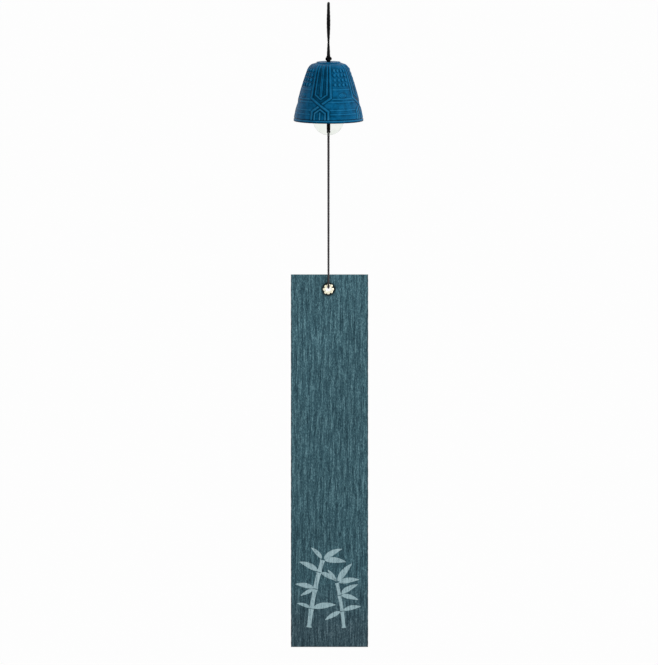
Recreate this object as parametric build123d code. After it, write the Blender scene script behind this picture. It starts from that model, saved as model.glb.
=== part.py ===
from build123d import *
import math
import os

# A furin: an iron wind bell on a cord, with a clear clapper disc and a paper strip.
# The origin is where a hook carries the hanging loop. +Z is up and -Y is the front.
# All lengths are in millimetres.

# Driving dimensions of the bell
rim_radius = 33.8
bell_height = 57.4
wall = 3.0
crown_thickness = 4.0
relief = 0.55

# Other driving dimensions
strip_width = 75.0
strip_length = 363.0
strip_thickness = 0.6
disc_radius = 15.0
disc_thickness = 2.4
cord_diameter = 1.5
string_diameter = 1.3

# Clearances
knot_gap = 0.35
seat_gap = 0.3
lace_gap = 0.15
overrun = 5.0

# Levels below the hook
crown_knot_level = -53.2
crown_level = -56.5
disc_level = -112.3
clapper_knot_level = -124.2
strip_top_level = -263.1
eyelet_level = -277.4
rim_level = crown_level - bell_height

# Sizes of the bell
foot_radius = rim_radius - relief
lip_height = 2.6
edge_round = 0.7
flank_low_inset = 0.7
flank_mid_inset = 7.1
shoulder_inset = 13.5
shoulder_mid_inset = 16.7
plateau_inset = 22.2
flank_low_radius = rim_radius - flank_low_inset
flank_mid_radius = rim_radius - flank_mid_inset
shoulder_radius = rim_radius - shoulder_inset
shoulder_mid_radius = rim_radius - shoulder_mid_inset
plateau_radius = rim_radius - plateau_inset
shoulder_drop = 8.1
shoulder_mid_drop = 3.4
flank_low_height = 2.5
flank_mid_rise = 3.9
shoulder_height = bell_height - shoulder_drop
shoulder_mid_height = bell_height - shoulder_mid_drop
flank_mid_height = (flank_low_height + shoulder_height) / 2 + flank_mid_rise
plateau_height = 0.9
plateau_round = 0.4
crown_hole_radius = 2.2
cavity_shoulder_inset = 1.7
cavity_top_inset = 6.6
cavity_shoulder_drop = 7.0
cavity_mid_radius = flank_mid_radius - wall
cavity_shoulder_radius = shoulder_radius - wall - cavity_shoulder_inset
cavity_top_radius = cavity_shoulder_radius - cavity_top_inset
cavity_shoulder_height = bell_height - cavity_shoulder_drop

# The cast pattern: four upright bands, four panels, sash lines and crossed straps
band_count = 4
front_band_turn = -15.5
band_half_turn = 19.7
rib_width = 1.5
rib_drop = 2.8
rib_high = bell_height - rib_drop
middle_rib_low = 26.0
frame_width = 1.5
frame_low = 22.4
strap_level = 17.4
strap_width = 2.2
strap_length = 22.0
strap_tilt = 53.0
leg_turn = 15.0
leg_high = 11.2
line_width = 1.2
vee_turn = 12.0
vee_bend = 27.4
vee_point = 23.2
arch_turn = 9.5
arch_bend = 9.8
arch_point = 13.4
foot_rib_high = 10.0
sash_heights = (32.2, 23.2, 20.4, 12.6, 8.6)
sash_width = 0.9
boss_turns = (-15.0, -5.0, 5.0, 15.0)
boss_row_shares = (1.04094, 0.78363, 0.52047, 0.25731)
boss_heights = [sash_heights[0] + share * (shoulder_height - sash_heights[0]) for share in boss_row_shares]
boss_foot_radius = 1.65
boss_top_radius = 0.9
boss_height = 1.2
boss_root = 1.0
seat_length = 7.4
seat_height = 4.4
seat_level = 26.6

# Sizes of the knots
crown_knot_core = 2.5
crown_knot_coil = 2.45
stopper_core = 3.0
stopper_coil = 2.4
clapper_knot_core = 1.6
clapper_knot_coil = 1.35
knot_tilt = 22.0

# Sizes of the cords
pair_half_gap = 0.875
fold_half_gap = 1.4
string_half_gap = 0.8
string_turn = 78.0
string_spread = 1.7
eyelet_drop = 1.3

# The hanging loop's two strands, as heights, turns about the upright and half gaps
loop_levels = (-4.0, -9.0, -14.0, -19.0, -25.0, -31.5, -38.0, -43.5)
loop_turns = (70.0, 45.0, 20.0, -5.0, -33.0, -62.0, -92.0, -119.0)
loop_end_turn = -146.0
loop_fold_turn = 70.0
loop_fold_spread = 1.25

# Sizes of the clapper disc
disc_forward = 3.6
lace_hole_radius = 2.4
upper_hole_level = -101.3
lower_hole_level = -122.4
disc_round = 0.4

# Sizes of the eyelet
eyelet_bore_radius = 2.3
eyelet_sheet = 0.4
eyelet_flange_radius = 4.6
petal_count = 8
petal_tip_radius = 5.6
petal_root_radius = 3.5
slit_half_width = 2.2
strip_hole_gap = 0.1

# How far the strip's middle hangs to the right of its hole
strip_shift = 1.0

# The share of a cord's shorter run that the arc at its end takes
arc_share = 0.45

cord_radius = cord_diameter / 2
string_radius = string_diameter / 2


def turned(radius, turn):
    """The place at a radius, at a turn from the front toward the right."""
    angle = math.radians(turn)
    return radius * math.sin(angle), -radius * math.cos(angle)


def corner_radius(before, corner, after):
    """The arc at one corner of a cord's route."""
    first = Vector(*corner) - Vector(*before)
    second = Vector(*after) - Vector(*corner)
    turn = math.radians(first.get_angle(second))
    return arc_share * min(first.length, second.length) / math.tan(turn / 2)


def tube(name, points, radius):
    """A round cord along straight runs that are joined by tangent arcs."""
    corners = zip(points, points[1:], points[2:])
    radii = [corner_radius(*three) for three in corners]
    path = FilletPolyline(*points, radius=radii) if radii else Line(*points)
    section = Plane(origin=path @ 0, z_dir=path % 0) * Circle(radius)
    cord = sweep(section, path=path)
    plain = math.pi * radius**2 * path.length
    least = min(radii) if radii else 0
    print(f"{name}: length {path.length:.1f}, least radius {least:.2f}, volume {cord.volume / plain:.4f}")
    return cord


def knot(core, coil, thickness):
    """A tied lump: a round core with two tilted turns of cord about it."""
    lump = Sphere(core)
    for tilt in (knot_tilt, -knot_tilt):
        lump += Rot(tilt, tilt, 0) * Torus(coil, thickness)
    return lump


# The hanging loop, from the knot up, over the fold and down again
def strand_point(half_gap, turn, level, side):
    angle = math.radians(turn)
    return side * half_gap * math.cos(angle), side * half_gap * math.sin(angle), level


loop_end_level = crown_knot_level + crown_knot_core + knot_gap
fold_top = cord_radius
rows = list(zip(loop_levels, loop_turns))
gaps = [loop_fold_spread] + [pair_half_gap] * (len(rows) - 1)
up = [strand_point(gap, turn, level, 1) for gap, (level, turn) in zip(gaps, rows)]
down = [strand_point(gap, turn, level, -1) for gap, (level, turn) in zip(gaps, rows)]
loop_route = [
    strand_point(pair_half_gap, loop_end_turn, loop_end_level, 1),
    *reversed(up),
    strand_point(fold_half_gap, loop_fold_turn, fold_top, 1),
    strand_point(fold_half_gap, loop_fold_turn, fold_top, -1),
    *down,
    strand_point(pair_half_gap, loop_end_turn, loop_end_level, -1),
]
hanging_loop = tube("hanging_loop", loop_route, cord_radius)

# Knots
crown_knot = Pos(0, 0, crown_knot_level) * knot(crown_knot_core, crown_knot_coil, cord_radius)
crown_underside = crown_level - crown_thickness
stopper_reach = stopper_coil + cord_radius
stopper_drop = math.sqrt((stopper_reach + seat_gap) ** 2 - crown_hole_radius**2)
stopper_level = crown_underside - stopper_drop
stopper_knot = Pos(0, 0, stopper_level) * knot(stopper_core, stopper_coil, cord_radius)
clapper_knot_reach = max(clapper_knot_core, clapper_knot_coil + string_radius)
clapper_knot = Pos(0, 0, clapper_knot_level) * knot(clapper_knot_core, clapper_knot_coil, string_radius)

# The cord through the crown, a pair of strands
crown_cord_top = crown_knot_level - crown_knot_core - knot_gap
crown_cord_end = stopper_level + stopper_reach + knot_gap
crown_cord = [
    tube("crown_cord", [(x, 0, crown_cord_top), (x, 0, crown_cord_end)], cord_radius)
    for x in (-pair_half_gap, pair_half_gap)
]

# The clapper cord, laced through both holes of the disc
disc_centre = -disc_forward
face_forward = disc_forward + disc_thickness / 2 + lace_gap + cord_radius
clapper_cord_top = stopper_level - stopper_reach - knot_gap
lace_end = -(clapper_knot_reach + knot_gap)
clapper_cord = [
    tube(
        "clapper_cord",
        [
            (x, 0, clapper_cord_top),
            (x, 0, upper_hole_level),
            (x, -face_forward, upper_hole_level),
            (x, -face_forward, lower_hole_level),
            (x, lace_end, lower_hole_level),
        ],
        cord_radius,
    )
    for x in (-pair_half_gap, pair_half_gap)
]

# The clear disc
disc = Rot(90, 0, 0) * Cylinder(disc_radius, disc_thickness)
disc = fillet(disc.edges(), disc_round)
disc = Pos(0, disc_centre, disc_level) * disc
for level in (upper_hole_level, lower_hole_level):
    disc -= Pos(0, disc_centre, level) * Rot(90, 0, 0) * Cylinder(lace_hole_radius, disc_thickness + overrun)
clapper_disc = disc

# The strip's string, two legs and the fold through the eyelet
string_top = clapper_knot_level - clapper_knot_reach - knot_gap
fold_level = eyelet_level + eyelet_drop
leg_x, leg_y = (
    string_half_gap * math.cos(math.radians(string_turn)),
    string_half_gap * math.sin(math.radians(string_turn)),
)
string_route = [
    (leg_x, -leg_y, string_top),
    (0, -string_spread, fold_level),
    (0, string_spread, fold_level),
    (-leg_x, leg_y, string_top),
]
strip_string = tube("strip_string", string_route, string_radius)

# The paper strip
barrel_radius = eyelet_bore_radius + eyelet_sheet
strip_level = strip_top_level - strip_length / 2
paper_strip = Pos(strip_shift, 0, strip_level) * Box(strip_width, strip_thickness, strip_length)
strip_hole = Cylinder(barrel_radius + strip_hole_gap, strip_thickness + overrun)
paper_strip -= Pos(0, 0, eyelet_level) * Rot(90, 0, 0) * strip_hole

# The eyelet: a barrel, a round flange behind and split petals in front
half_paper = strip_thickness / 2
front_face = half_paper + eyelet_sheet
barrel = Cylinder(barrel_radius, 2 * front_face)
flange = Pos(0, 0, -half_paper - eyelet_sheet / 2) * Cylinder(eyelet_flange_radius, eyelet_sheet)
petals = Pos(0, 0, half_paper + eyelet_sheet / 2) * Cylinder(petal_tip_radius, eyelet_sheet)
slit_reach = petal_tip_radius - petal_root_radius
for n in range(petal_count):
    notch = Polygon(
        (petal_root_radius, 0),
        (petal_tip_radius + slit_reach, -slit_half_width),
        (petal_tip_radius + slit_reach, slit_half_width),
        align=None,
    )
    cut = Pos(0, 0, -overrun) * extrude(notch, amount=2 * overrun)
    petals -= Rot(0, 0, 360 * n / petal_count) * cut
eyelet = barrel + flange + petals
eyelet -= Cylinder(eyelet_bore_radius, 2 * front_face + overrun)
eyelet = Pos(0, 0, eyelet_level) * Rot(90, 0, 0) * eyelet


# The bell, standing on its rim at zero until it is placed
def side_outline(proud):
    """The bell's outside from the axis round to the axis, with no lip or plateau."""
    foot = (foot_radius + proud, 0)
    low = (flank_low_radius + proud, flank_low_height)
    top = (shoulder_radius + proud, shoulder_height)
    shoulder_mid = (shoulder_mid_radius + proud, shoulder_mid_height + proud / 2)
    shoulder_top = bell_height - plateau_height
    edges = [
        Line((0, 0), foot),
        Line(foot, low),
        ThreePointArc(low, (flank_mid_radius + proud, flank_mid_height), top),
        ThreePointArc(top, shoulder_mid, (plateau_radius, shoulder_top)),
        Line((plateau_radius, shoulder_top), (0, shoulder_top)),
        Line((0, shoulder_top), (0, 0)),
    ]
    return Plane.XZ * make_face(edges)


def cavity_outline():
    """The hollow inside the bell."""
    rim = (rim_radius - wall, 0)
    low = (rim_radius - wall, -overrun)
    shoulder = (cavity_shoulder_radius, cavity_shoulder_height)
    top = bell_height - crown_thickness
    edges = [
        Line((0, -overrun), low),
        Line(low, rim),
        ThreePointArc(rim, (cavity_mid_radius, flank_mid_height), shoulder),
        Line(shoulder, (cavity_top_radius, top)),
        Line((cavity_top_radius, top), (0, top)),
        Line((0, top), (0, -overrun)),
    ]
    return Plane.XZ * make_face(edges)


def flank_radius(height):
    """The outside radius of the plain flank at a height."""
    arc = ThreePointArc(
        (flank_low_radius, flank_low_height),
        (flank_mid_radius, flank_mid_height),
        (shoulder_radius, shoulder_height),
    )
    low, high = 0.0, 1.0
    for step in range(40):
        middle = (low + high) / 2
        low, high = (middle, high) if (arc @ middle).Y < height else (low, middle)
    return (arc @ low).X, arc % low


def upright(turn, width, low, high, inner):
    """A radial slab that cuts one upright rib out of the raised layer."""
    slab = Box(width, rim_radius - inner, high - low, align=(Align.CENTER, Align.MAX, Align.MIN))
    return Rot(0, 0, turn) * Pos(0, -inner, low) * slab


def slanted(band_turn, turn, bend, point):
    """A slab that cuts one slanted line, from an upright line's end to the band's middle."""
    radius, slope = flank_radius(bend)
    across = radius * math.sin(math.radians(turn))
    rise = bend - point
    length = math.hypot(across, rise) + line_width
    tilt = math.degrees(math.atan2(across, rise))
    slab = Box(line_width, rim_radius - shoulder_radius, length, align=(Align.CENTER, Align.MAX, Align.CENTER))
    middle = Pos(across / 2, -shoulder_radius, (bend + point) / 2)
    return Rot(0, 0, band_turn) * middle * Rot(0, tilt, 0) * slab


plain = revolve(side_outline(0), Axis.Z)
raised = revolve(side_outline(relief), Axis.Z)
slabs = []
for n in range(band_count):
    band_turn = front_band_turn + 360 * n / band_count
    slabs.append(upright(band_turn, rib_width, middle_rib_low, rib_high, plateau_radius))
    slabs.append(upright(band_turn, line_width, flank_low_height, foot_rib_high, flank_mid_radius))
    for side in (-1, 1):
        frame_turn = band_turn + side * band_half_turn
        slabs.append(upright(frame_turn, frame_width, frame_low, rib_high, plateau_radius))
        foot_turn = band_turn + side * leg_turn
        slabs.append(upright(foot_turn, rib_width, flank_low_height, leg_high, flank_mid_radius))
        inner_turn = band_turn + side * vee_turn
        slabs.append(upright(inner_turn, line_width, vee_bend, rib_high, plateau_radius))
        arch_side = band_turn + side * arch_turn
        slabs.append(upright(arch_side, line_width, flank_low_height, arch_bend, flank_mid_radius))
        slabs.append(slanted(band_turn, side * vee_turn, vee_bend, vee_point))
        slabs.append(slanted(band_turn, side * arch_turn, arch_bend, arch_point))
    for tilt in (-strap_tilt, strap_tilt):
        depth = rim_radius - shoulder_radius
        strap = Box(strap_width, depth, strap_length, align=(Align.CENTER, Align.MAX, Align.CENTER))
        slabs.append(Rot(0, 0, band_turn) * Pos(0, -shoulder_radius, strap_level) * Rot(0, tilt, 0) * strap)
ribs = raised & (Part() + slabs)

# Sash lines between the bands
sashes = []
for height in sash_heights:
    ring = Pos(0, 0, height) * Cylinder(2 * rim_radius, sash_width)
    sashes.append(ring)
lines = raised & (Part() + sashes)
band_sectors = []
for n in range(band_count):
    sector = Cylinder(
        2 * rim_radius, 3 * bell_height, arc_size=2 * band_half_turn, rotation=(0, 0, -90 - band_half_turn)
    )
    band_sectors.append(Rot(0, 0, front_band_turn + 360 * n / band_count) * sector)
lines -= Part() + band_sectors

# Rows of bosses and one oval seat in each panel
stud_length = boss_root + boss_height
standing = (Align.CENTER, Align.CENTER, Align.MIN)
stud = Pos(0, 0, -boss_root) * Cone(boss_foot_radius, boss_top_radius, stud_length, align=standing)
bosses = []
seats = []
for n in range(band_count):
    panel_middle = front_band_turn + 360 * (n + 1 / 2) / band_count
    for height in boss_heights:
        radius, slope = flank_radius(min(height, shoulder_height))
        lean = math.degrees(math.atan2(-slope.X, slope.Y))
        for turn in boss_turns:
            x, y = turned(radius, panel_middle + turn)
            bosses.append(Pos(x, y, height) * Rot(0, 0, panel_middle + turn) * Rot(90 - lean, 0, 0) * stud)
    oval = extrude(Plane.XZ * Ellipse(seat_length / 2, seat_height / 2), amount=rim_radius)
    seats.append(Rot(0, 0, panel_middle) * Pos(0, 0, seat_level) * oval)
ovals = raised & (Part() + seats)

# The lip, the flat crown and the hollow
lip = Cylinder(rim_radius, lip_height, align=standing)
lip = fillet(lip.edges(), edge_round)
plateau = Cylinder(plateau_radius, crown_thickness, align=standing)
plateau = Pos(0, 0, bell_height - crown_thickness) * plateau
plateau = fillet(plateau.edges().sort_by(Axis.Z)[-1], plateau_round)
bell = plain + lip + plateau + ribs + lines + ovals + bosses
bell -= revolve(cavity_outline(), Axis.Z)
bell -= Pos(0, 0, bell_height) * Cylinder(crown_hole_radius, 2 * crown_thickness + overrun)
bell = Pos(0, 0, rim_level) * bell

# One file for each piece
pieces = {
    "hanging_loop": hanging_loop,
    "crown_knot": crown_knot,
    "crown_cord": Compound(children=crown_cord),
    "bell": bell,
    "stopper_knot": stopper_knot,
    "clapper_cord": Compound(children=clapper_cord),
    "clapper_disc": clapper_disc,
    "clapper_knot": clapper_knot,
    "strip_string": strip_string,
    "paper_strip": paper_strip,
    "eyelet": eyelet,
}
os.makedirs("parts", exist_ok=True)
for name, piece in pieces.items():
    export_step(piece, f"parts/{name}.step")
    box = piece.bounding_box()
    print(name, len(piece.solids()), [round(v, 2) for v in (*box.min, *box.max)])
levels = (stopper_level, fold_level, string_top, clapper_cord_top)
print("levels", [round(level, 3) for level in levels])
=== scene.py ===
from functools import partial
from math import atan2, cos, degrees, pi, radians, sin

import bpy
import numpy as np
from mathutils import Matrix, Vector, noise


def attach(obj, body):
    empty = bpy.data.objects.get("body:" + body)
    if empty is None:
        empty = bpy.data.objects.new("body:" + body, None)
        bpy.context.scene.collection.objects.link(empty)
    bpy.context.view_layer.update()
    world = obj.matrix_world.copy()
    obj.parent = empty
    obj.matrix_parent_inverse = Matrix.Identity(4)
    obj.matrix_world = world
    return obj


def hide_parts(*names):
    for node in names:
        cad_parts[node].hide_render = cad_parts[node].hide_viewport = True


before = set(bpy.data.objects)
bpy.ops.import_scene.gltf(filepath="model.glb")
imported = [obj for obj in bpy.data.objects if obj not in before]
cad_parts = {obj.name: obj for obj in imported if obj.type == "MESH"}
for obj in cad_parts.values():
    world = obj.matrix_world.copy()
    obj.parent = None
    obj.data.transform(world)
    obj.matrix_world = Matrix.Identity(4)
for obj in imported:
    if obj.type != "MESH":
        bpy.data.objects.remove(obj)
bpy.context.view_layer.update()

# A furin: an iron wind bell on a cord, with a clear clapper disc and a paper strip.
# The pieces keep the frame's place: the origin is the hook's point, +Z is up and -Y is the front.
# Sizes are in millimetres, as in the part's source, and MM turns them into metres.
MM = 0.001

# The bell
rim_radius = 33.8
bell_height = 57.4
crown_thickness = 4.0
lip_proud = 0.55
rim_level = -113.9
lip_height = 2.6
edge_round = 0.7
flank_low = (33.1, 2.5)
flank_mid = (26.7, 29.8)
shoulder = (20.3, 49.3)
shoulder_mid = (17.1, 54.0)
plateau_radius = 11.6
plateau_height = 0.9
plateau_round = 0.4
plateau_foot = (plateau_radius, bell_height - plateau_height)
crown_hole_radius = 2.2
cavity_rim = (30.8, 0.0)
cavity_mid = (23.7, 29.8)
cavity_shoulder = (15.6, 50.4)
cavity_top_radius = 9.0

# The bell's cast pattern, with turns in degrees
band_count = 4
band_step = 360 / band_count
front_band_turn = -15.5
band_half_turn = 19.7
leg_turn = 15.0
strap_bend = 24.4
strap_foot = 11.2
strap_bend_across = 9.97
strap_foot_across = 8.43
strap_half_width = 0.95
vee_turn = 12.0
vee_bend = 27.4
vee_across = 5.8
vee_point = 23.2
arch_turn = 9.5
arch_bend = 9.8
arch_across = 5.1
arch_point = 13.4
line_half_width = 0.6
middle_rib_half_width = 1.15
middle_rib_low = 26.0
foot_rib_high = 10.0
rib_high = 55.2
sash_heights = (32.2, 23.2, 20.4, 12.6, 8.6)
sash_half_width = 0.5
sunk_sashes = sash_heights[2:0:-1], sash_heights[:2:-1]
sash_sink = 0.25
sash_sink_inset = 0.7
boss_turns = (-15.0, -5.0, 5.0, 15.0)
boss_heights = (50.0, 45.6, 41.1, 36.6)
boss_radius = 1.5
boss_half_height = 1.95
boss_height = 1.25
boss_ring_depth = 0.3
boss_ring_reach = 1.18
boss_ring_half_width = 0.26
seat_half_length = 3.7
seat_half_height = 2.2
seat_level = 26.6
seat_proud = 0.42
seat_reach = 0.95
seat_ring_depth = 0.24
seat_ring_reach = 0.66
seat_ring_half_width = 0.1
rib_proud = 0.5
line_proud = 0.3
over_strap_lift = 0.05

# The grooves beside the pattern's lines, by depth, and how softly an edge steps
groove_offset = 0.5
groove_half_width = 0.36
groove_soft = 0.22
line_groove = 0.22
rib_groove = 0.2
rib_split = 0.22
rib_split_half_width = 0.2
under_strap_groove = 0.3
over_strap_groove = 0.34
slant_groove = 0.22
lip_groove = 0.2
lip_groove_offset = 0.7
lip_groove_half_width = 0.35
lip_soft = 0.12
fine_soft = 0.1

# The pattern's painted shade and painted highlights, and the skin that sand casting leaves
painted_band_shade = 0.07
boss_zone = (34.4, 52.6)
painted_zone_shade = 0.025
painted_rim_shade = 0.24
painted_rim_shade_high = 1.2
painted_boss_highlight = 0.17
painted_boss_foot_shade = -0.13
zone_soft = 0.8
cast_skin = 0.05
skin_scale = 0.55

# Cords and knots
cord_diameter = 1.5
string_diameter = 1.3
cord_radius = cord_diameter / 2
string_radius = string_diameter / 2
pair_half_gap = 0.875
stub_gap_share = 0.8
crown_knot_level = -53.2
stopper_level = -63.158
clapper_knot_level = -124.2
eyelet_level = -277.4
neck_levels = (crown_knot_level - 2.0, -57.8, stopper_level + 2.6)

# A laid cord's strands stand out past its mean radius and sink in between
swell_share = 1.3
pair_swell_share = 1.2
string_swell_share = 1.55
lobe_share = 0.06
pair_lobe_share = 0.02
cord_step = 0.22

# The paper strip
strip_half_width = 37.5
strip_shift = 1.0
strip_top = -263.1
strip_length = 363.0
strip_thickness = 0.3
strip_hole_radius = 2.9
hole_snap = 0.55
furrow_pitches = (3.1, 2.3)
furrow_depths = (0.07, 0.06, 0.04)
paper_edge = 0.9
# Painted shade toward the strip's foot and painted light toward its head, as shares of the paper's colour
painted_foot_shade = 0.87
painted_head_light = 1.09
# Heights over which the paper turns darker and greyer toward its bottom
foot_darkening_levels = (-560.0, -606.0)
# The painted shadow round the eyelet, from its outer edge to where it is fully dark
eyelet_shadow_radii = (7.6, 5.9)

# The eyelet, with each point of its section by the distance from the bore and the depth
eyelet_bore_radius = 2.3
petal_count = 8
petal_root_radius = 2.4
petal_tip_radius = 5.6
petal_places = (0.0, 0.3, 0.55, 0.85, 1.0)
petal_half_widths = (1.05, 1.45, 1.62, 1.35, 0.75)
petal_tip_round = 0.06
petal_lift = 0.34
petal_dome = 0.42
petal_side_drop = 0.1
petal_thickness = 0.2
petal_jitter = 0.09
petal_least = (0.84, 1.0, 0.9)
petal_most = (1.08, 1.0, 1.02)
eyelet_section = (
    (0.0, 0.6), (0.0, -0.62), (0.07, -0.76), (0.22, -0.82), (0.4, -0.76), (0.46, -0.6),
    (0.42, 0.34), (2.2, 0.36), (2.3, 0.46), (2.2, 0.58), (0.4, 0.7), (0.12, 0.68),
)

# The print, a spray of bamboo. A cane has a start, a heading, a bend, its joints' lengths and a half width.
# A leaf has the joint that it grows from, a heading, a length and a bend.
stroke_steps = 64
stroke_columns = 11
print_lift = 0.06
cane_gap = 0.7
cane_flare = 0.35
leaf_share = 0.13
leaf_gap = 1.9
canes = (
    ((-19.0, -607.0), 84.0, -12.0, (18.0, 19.0, 16.0, 12.0), 2.0),
    ((15.0, -607.5), 95.0, 8.0, (16.0, 15.0, 12.0), 1.6),
)
leaves = (
    (1, 150.0, 13.0, 24.0), (1, 18.0, 22.0, -20.0), (2, 158.0, 18.0, 20.0), (2, -158.0, 14.0, 10.0),
    (3, 142.0, 20.0, 24.0), (3, -20.0, 17.0, -16.0), (4, 44.0, 20.0, -30.0), (4, 4.0, 21.0, -18.0),
    (4, 122.0, 15.0, 24.0), (6, 24.0, 17.0, -24.0), (6, -158.0, 17.0, 14.0), (7, 40.0, 19.0, -22.0),
    (7, -6.0, 17.0, -18.0), (8, 62.0, 22.0, -20.0), (8, 18.0, 20.0, -20.0), (8, 118.0, 14.0, 16.0),
)


# Small helpers for node trees
def linear(red, green, blue):
    """A screen colour, from 0 to 255, as a shader takes it."""
    def channel(level):
        share = level / 255
        return share / 12.92 if share <= 0.04045 else ((share + 0.055) / 1.055) ** 2.4
    return channel(red), channel(green), channel(blue), 1.0


def fill(node, values):
    """Gives a node's input sockets their values or links. A node stands for its first output."""
    for name, value in values.items():
        value = value.outputs[0] if hasattr(value, "outputs") else value
        if hasattr(value, "links"):
            node.id_data.links.new(value, node.inputs[name])
        else:
            node.inputs[name].default_value = value


def add_node(tree, kind, values=None, **settings):
    """Adds a node with its settings and the values of its input sockets."""
    node = tree.nodes.new(kind)
    for name, value in settings.items():
        setattr(node, name, value)
    fill(node, values or {})
    return node


def new_material(name, look, *colours):
    """A material whose surface shader takes the values that a look works out in its tree."""
    made = bpy.data.materials.new(name)
    made.use_nodes = True
    tree = made.node_tree
    fill(tree.nodes["Principled BSDF"], look(tree, *colours))
    return made


def piece_place(tree, run=1.0):
    """The place of a point on its piece, in metres, with heights scaled for a texture that runs down it."""
    place = add_node(tree, "ShaderNodeTexCoord").outputs["Object"]
    return add_node(tree, "ShaderNodeMapping", {"Vector": place, "Scale": (1.0, 1.0, run)})


def grain(tree, scale, run=1.0, detail=4.0, roughness=0.55, distortion=0.0):
    """Noise fixed to the piece, with so many grains to a metre."""
    values = {
        "Vector": piece_place(tree, run), "Scale": scale, "Detail": detail,
        "Roughness": roughness, "Distortion": distortion,
    }
    return add_node(tree, "ShaderNodeTexNoise", values)


def ramp(factor, stops):
    """Colours along a factor: each stop is a place from 0 to 1 and a screen colour."""
    node = add_node(factor.id_data, "ShaderNodeValToRGB", {"Fac": factor})
    points = node.color_ramp.elements
    while len(points) < len(stops):
        points.new(1.0)
    for point, (place, colour) in zip(points, stops):
        point.position = place
        point.color = linear(*colour)
    return node


def fit(value, low, high, to_low=0.0, to_high=1.0):
    """A value carried from one span to another."""
    values = {"Value": value, "From Min": low, "From Max": high, "To Min": to_low, "To Max": to_high}
    return add_node(value.id_data, "ShaderNodeMapRange", values)


def fit_noise(value, to_low, to_high):
    """Noise carried to a span. Nearly all of it lies from 0.3 to 0.7."""
    return fit(value, 0.3, 0.7, to_low, to_high)


def mixed(factor, first, second, blend="MIX"):
    """Two colours mixed by a factor. The colours are the node's sockets 6 and 7."""
    values = {0: factor, 6: first, 7: second}
    return add_node(first.id_data, "ShaderNodeMix", values, data_type="RGBA", blend_type=blend).outputs[2]


def shaded(colour, share):
    """A colour multiplied by a share or by another colour."""
    return mixed(1.0, colour, share, "MULTIPLY")


def sums(tree, operation, first, second=0.0):
    """One sum on two values."""
    return add_node(tree, "ShaderNodeMath", {0: first, 1: second}, operation=operation)


def bump(height, depth, before=None):
    """A surface normal with so much depth, in millimetres."""
    values = {"Height": height, "Distance": depth * MM, "Strength": 1.0}
    if before is not None:
        values["Normal"] = before
    return add_node(height.id_data, "ShaderNodeBump", values)


# Looks
def lacquered_iron(tree):
    """Blue lacquer on cast iron: painted shade in the grooves, rubbed pale along the ridges, and the painted
    shade and highlights that the relief attribute carries.
    """
    height = add_node(tree, "ShaderNodeAttribute", attribute_name="relief").outputs["Fac"]
    inside = add_node(tree, "ShaderNodeAttribute", attribute_name="inside").outputs["Fac"]
    mottle = grain(tree, 170.0, detail=3.0)
    sand = grain(tree, 1000.0, detail=5.0, roughness=0.65)
    # The relief attribute holds painted shade and painted highlights as well as the grooves and ridges, so
    # the ramp's dark end stands for shade
    wear_and_painted_shading = sums(tree, "ADD", height, fit_noise(mottle, -0.07, 0.07))
    lacquer = (
        (0.0, (0, 26, 44)), (0.28, (0, 52, 80)), (0.5, (8, 88, 130)),
        (0.7, (22, 100, 142)), (0.86, (44, 114, 150)), (1.0, (76, 134, 162)),
    )
    colour = ramp(fit(wear_and_painted_shading, low=-0.3, high=0.34), lacquer)
    colour = shaded(colour, fit(sand, 0.35, 0.65, to_low=0.8, to_high=1.18))
    return {
        "Base Color": mixed(inside, colour, linear(18, 36, 48)),
        "Roughness": fit_noise(sand, 0.4, 0.62),
        "Specular IOR Level": 0.2,
        "Specular Tint": linear(60, 170, 220),
        "Normal": bump(sand, depth=0.12, before=bump(mottle, depth=0.3)),
    }


def spun_cord(tree, dark, pale):
    """Spun cord: fine fibres lying along the strands, with a dull nap."""
    fibre = grain(tree, 2600.0, run=0.35, detail=4.0, distortion=0.6)
    nap = grain(tree, 420.0, detail=2.0)
    colour = ramp(fibre, ((0.3, dark), (0.75, pale)))
    return {
        "Base Color": shaded(colour, fit_noise(nap, 0.8, 1.2)),
        "Roughness": fit_noise(fibre, 0.7, 0.92),
        "Specular IOR Level": 0.12,
        "Normal": bump(fibre, depth=0.08),
    }


def clear_plastic(tree):
    """Clear moulded plastic with faint scratches."""
    scratch = grain(tree, 700.0, run=0.08, detail=3.0, distortion=0.4)
    haze = grain(tree, 160.0, detail=2.0)
    return {
        "Base Color": ramp(haze, ((0.3, (232, 237, 230)), (0.7, (245, 248, 243)))),
        "Transmission Weight": 1.0,
        "IOR": 1.49,
        "Roughness": fit(scratch, 0.4, 0.8, to_low=0.02, to_high=0.12),
        "Normal": bump(scratch, depth=0.008),
    }


def crepe_colour_and_furrow_shade(tree):
    """The streaked teal of the strip's paper, and the wrinkles that it follows: fibre flecks, with painted
    light on the furrows' crests and painted shade in their troughs.
    """
    wander = {
        "Vector": piece_place(tree, run=0.3), "Scale": 50.0, "Distortion": 5.0,
        "Detail": 2.0, "Detail Scale": 1.5,
    }
    furrow = add_node(tree, "ShaderNodeTexWave", wander, bands_direction="X").outputs["Fac"]
    thread = grain(tree, 900.0, run=0.07, detail=2.5, distortion=0.6)
    fleck = grain(tree, 1250.0, run=0.42, detail=2.0, distortion=0.8)
    cloud = grain(tree, 26.0, detail=2.0)
    wrinkle = fit(furrow, 0.0, 1.0, to_low=-0.026, to_high=0.026)
    for part in (thread, fleck):
        wrinkle = sums(tree, "ADD", wrinkle, sums(tree, "MULTIPLY", part, 0.5))
    # The streaks are partly fibre flecks and partly painted light and shade that follow the furrows
    streaks_and_furrow_shade = ((0.38, (31, 60, 70)), (0.47, (54, 86, 97)), (0.53, (66, 102, 112)), (0.62, (102, 139, 149)))
    colour = shaded(ramp(wrinkle, streaks_and_furrow_shade), fit_noise(cloud, 0.94, 1.06))
    return colour, wrinkle


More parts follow.
